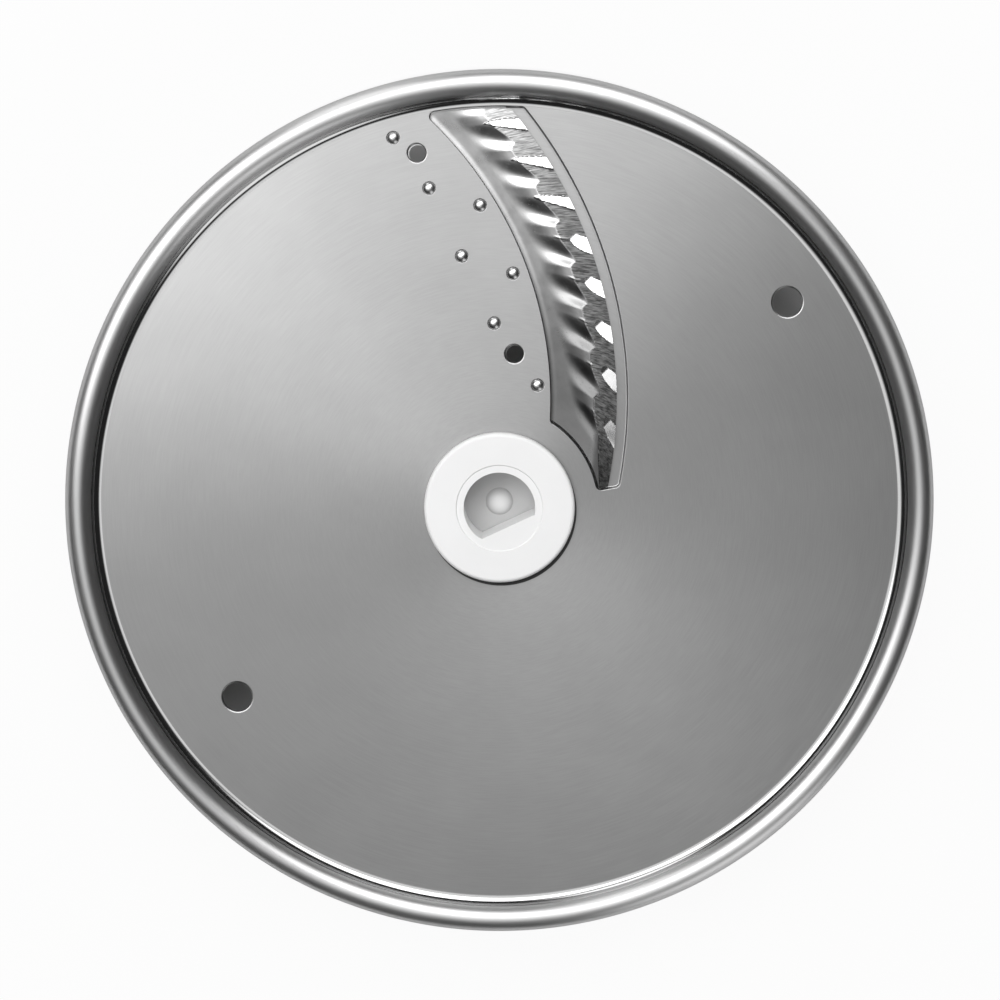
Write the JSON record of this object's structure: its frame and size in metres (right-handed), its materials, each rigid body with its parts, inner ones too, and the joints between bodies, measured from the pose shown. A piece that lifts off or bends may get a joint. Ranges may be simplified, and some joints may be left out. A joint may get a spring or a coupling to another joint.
{
  "type": "ripple cut disc",
  "caption": "Round stainless vegetable cutting disc with rolled rim, riveted corrugated blade beside a curved window, and white moulded hub with D-shaped sockets.",
  "frame": {"origin": "on the disc's axis, at the foot of the hub, which is the face that the disc rests on", "axes": "+Z along the axis out of the cutting side; +Y is up in the picture, towards the rim end of the blade; +X is right in the picture, the way that the cutting edge faces"},
  "size_m": [0.205, 0.205, 0.0255],
  "materials": {
    "disc_steel": "circular brushed stainless steel with a polished rolled rim",
    "blade_steel": "bright pressed knife steel with a coarse ground bevel",
    "rivet_steel": "smooth domed stainless steel",
    "hub_plastic": "white moulded plastic, satin"
  },
  "bodies": {
    "root": {"disc_plate": "disc_steel", "ripple_blade": "blade_steel", "blade_rivet_1": "rivet_steel", "blade_rivet_2": "rivet_steel", "blade_rivet_3": "rivet_steel", "blade_rivet_4": "rivet_steel", "blade_rivet_5": "rivet_steel", "blade_rivet_6": "rivet_steel", "blade_rivet_7": "rivet_steel", "hub": "hub_plastic"}
  },
  "joints": []
}
